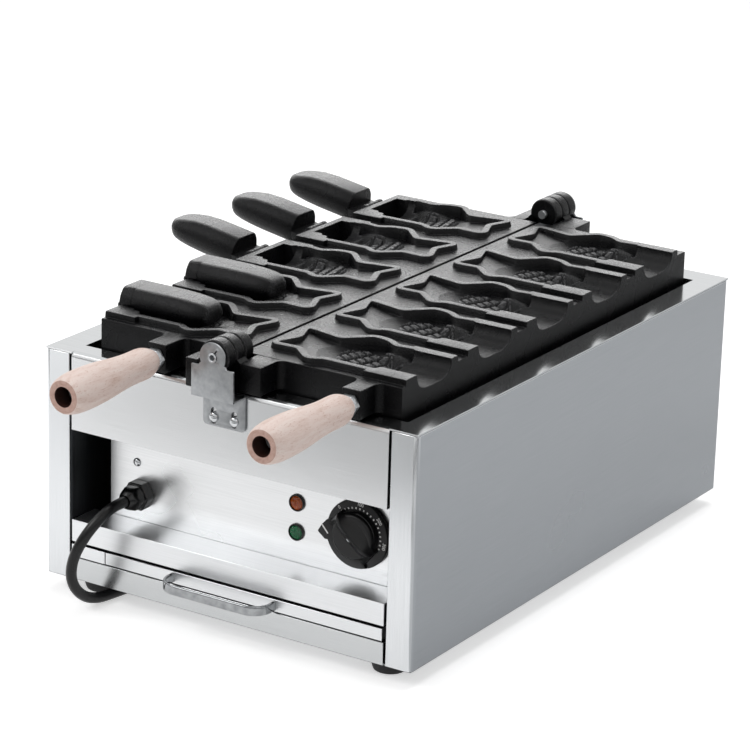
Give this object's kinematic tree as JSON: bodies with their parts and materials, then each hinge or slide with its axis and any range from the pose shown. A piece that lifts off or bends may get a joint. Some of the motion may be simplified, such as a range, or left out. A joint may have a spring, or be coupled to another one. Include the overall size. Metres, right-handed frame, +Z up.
{
  "type": "taiyaki machine",
  "caption": "Electric taiyaki machine: a folded steel case with facing hinged cast moulds for fish-shaped cakes, hinged mouth plugs, wooden handles, a thermostat and a crumb drawer.",
  "frame": {"origin": "on the floor, under the centre of the machine's box without the cord, its coil and its mains plug", "axes": "+X to the right seen from the control side, +Y to the back along the hinge axis, +Z up"},
  "size_m": [0.4476, 0.855, 0.2805],
  "materials": {
    "stainless": "satin",
    "inner_steel": "dull",
    "heater_sheath": "oxidised",
    "ceramic": "matte",
    "amber_lens": "clear amber, facetted",
    "green_lens": "clear green, facetted",
    "chrome": "polished",
    "gloss_black": "gloss",
    "cord_black": "half gloss",
    "foot_rubber": "matte",
    "zinc": "zinc plated",
    "knob_black": "satin",
    "cast_nonstick": "black non-stick coating on cast aluminium",
    "beech": "bare turned beech"
  },
  "bodies": {
    "case": {"side_panel_left": "stainless", "side_panel_right": "stainless", "top_deck": "stainless", "control_panel": "stainless", "recess_wall_left": "inner_steel", "sill": "stainless", "bottom_rail": "stainless", "rear_panel": "stainless", "base_pan": "inner_steel", "heating_well": "inner_steel", "heater_left": "heater_sheath", "heater_right": "heater_sheath", "heater_rack_front": "inner_steel", "heater_rack_rear": "inner_steel", "thermostat": "ceramic", "terminal_block": "ceramic", "lamp_amber": "amber_lens", "lamp_green": "green_lens", "panel_screw": "chrome", "cable_gland": "gloss_black", "cord": "cord_black", "cord_coil": "cord_black", "mains_plug": "gloss_black", "drawer_runner_left": "inner_steel", "drawer_runner_right": "inner_steel", "foot_front_left": "foot_rubber", "foot_front_right": "foot_rubber", "foot_rear_left": "foot_rubber", "foot_rear_right": "foot_rubber", "hinge_bracket_front": "stainless", "hinge_bracket_rear": "stainless", "hinge_pin_front": "zinc", "hinge_pin_rear": "zinc", "bracket_screw_front_left": "chrome", "bracket_screw_front_right": "chrome", "bracket_screw_rear_left": "chrome", "bracket_screw_rear_right": "chrome"},
    "thermostat_knob": {"knob": "knob_black", "knob_spindle": "zinc"},
    "drawer": {"crumb_drawer": "stainless", "drawer_handle": "chrome"},
    "left_half": {"left_mould": "cast_nonstick", "left_arm_front": "cast_nonstick", "left_arm_rear": "cast_nonstick", "handle_bolt_left": "zinc", "handle_nut_left": "zinc", "grip_left": "beech"},
    "right_half": {"right_mould": "cast_nonstick", "right_arm_front": "cast_nonstick", "right_arm_rear": "cast_nonstick", "handle_bolt_right": "zinc", "handle_nut_right": "zinc", "grip_right": "beech"},
    "plug_1": {"mouth_plug_1": "cast_nonstick"},
    "plug_2": {"mouth_plug_2": "cast_nonstick"},
    "plug_3": {"mouth_plug_3": "cast_nonstick"},
    "plug_4": {"mouth_plug_4": "cast_nonstick"},
    "plug_5": {"mouth_plug_5": "cast_nonstick"}
  },
  "joints": [
    {"name": "left_mould_hinge", "type": "hinge", "parent": "case", "child": "left_half", "pos_m": [0.02875, 0.0567, 0.26475], "axis": [0, 1, 0], "range_deg": [0, 180]},
    {"name": "right_mould_hinge", "type": "hinge", "parent": "case", "child": "right_half", "pos_m": [0.02875, 0.0567, 0.26475], "axis": [0, -1, 0], "range_deg": [0, 180]},
    {"name": "plug_1_hinge", "type": "hinge", "parent": "left_half", "child": "plug_1", "pos_m": [-0.12925, -0.1483, 0.2606], "axis": [0, -1, 0], "range_deg": [0, 170]},
    {"name": "plug_2_hinge", "type": "hinge", "parent": "left_half", "child": "plug_2", "pos_m": [-0.12925, -0.0483, 0.2606], "axis": [0, -1, 0], "range_deg": [0, 170]},
    {"name": "plug_3_hinge", "type": "hinge", "parent": "left_half", "child": "plug_3", "pos_m": [-0.12925, 0.0517, 0.2606], "axis": [0, 1, 0], "range_deg": [0, 170]},
    {"name": "plug_4_hinge", "type": "hinge", "parent": "left_half", "child": "plug_4", "pos_m": [-0.12925, 0.1517, 0.2606], "axis": [0, 1, 0], "range_deg": [0, 170]},
    {"name": "plug_5_hinge", "type": "hinge", "parent": "left_half", "child": "plug_5", "pos_m": [-0.12925, 0.2517, 0.2606], "axis": [0, 1, 0], "range_deg": [0, 170]},
    {"name": "knob_turn", "type": "hinge", "parent": "case", "child": "thermostat_knob", "pos_m": [0.14775, -0.1898, 0.116], "axis": [0, 1, 0], "range_deg": [0, 290]},
    {"name": "drawer_slide", "type": "slide", "parent": "case", "child": "drawer", "axis": [0, -1, 0], "range_m": [0, 0.36]}
  ]
}
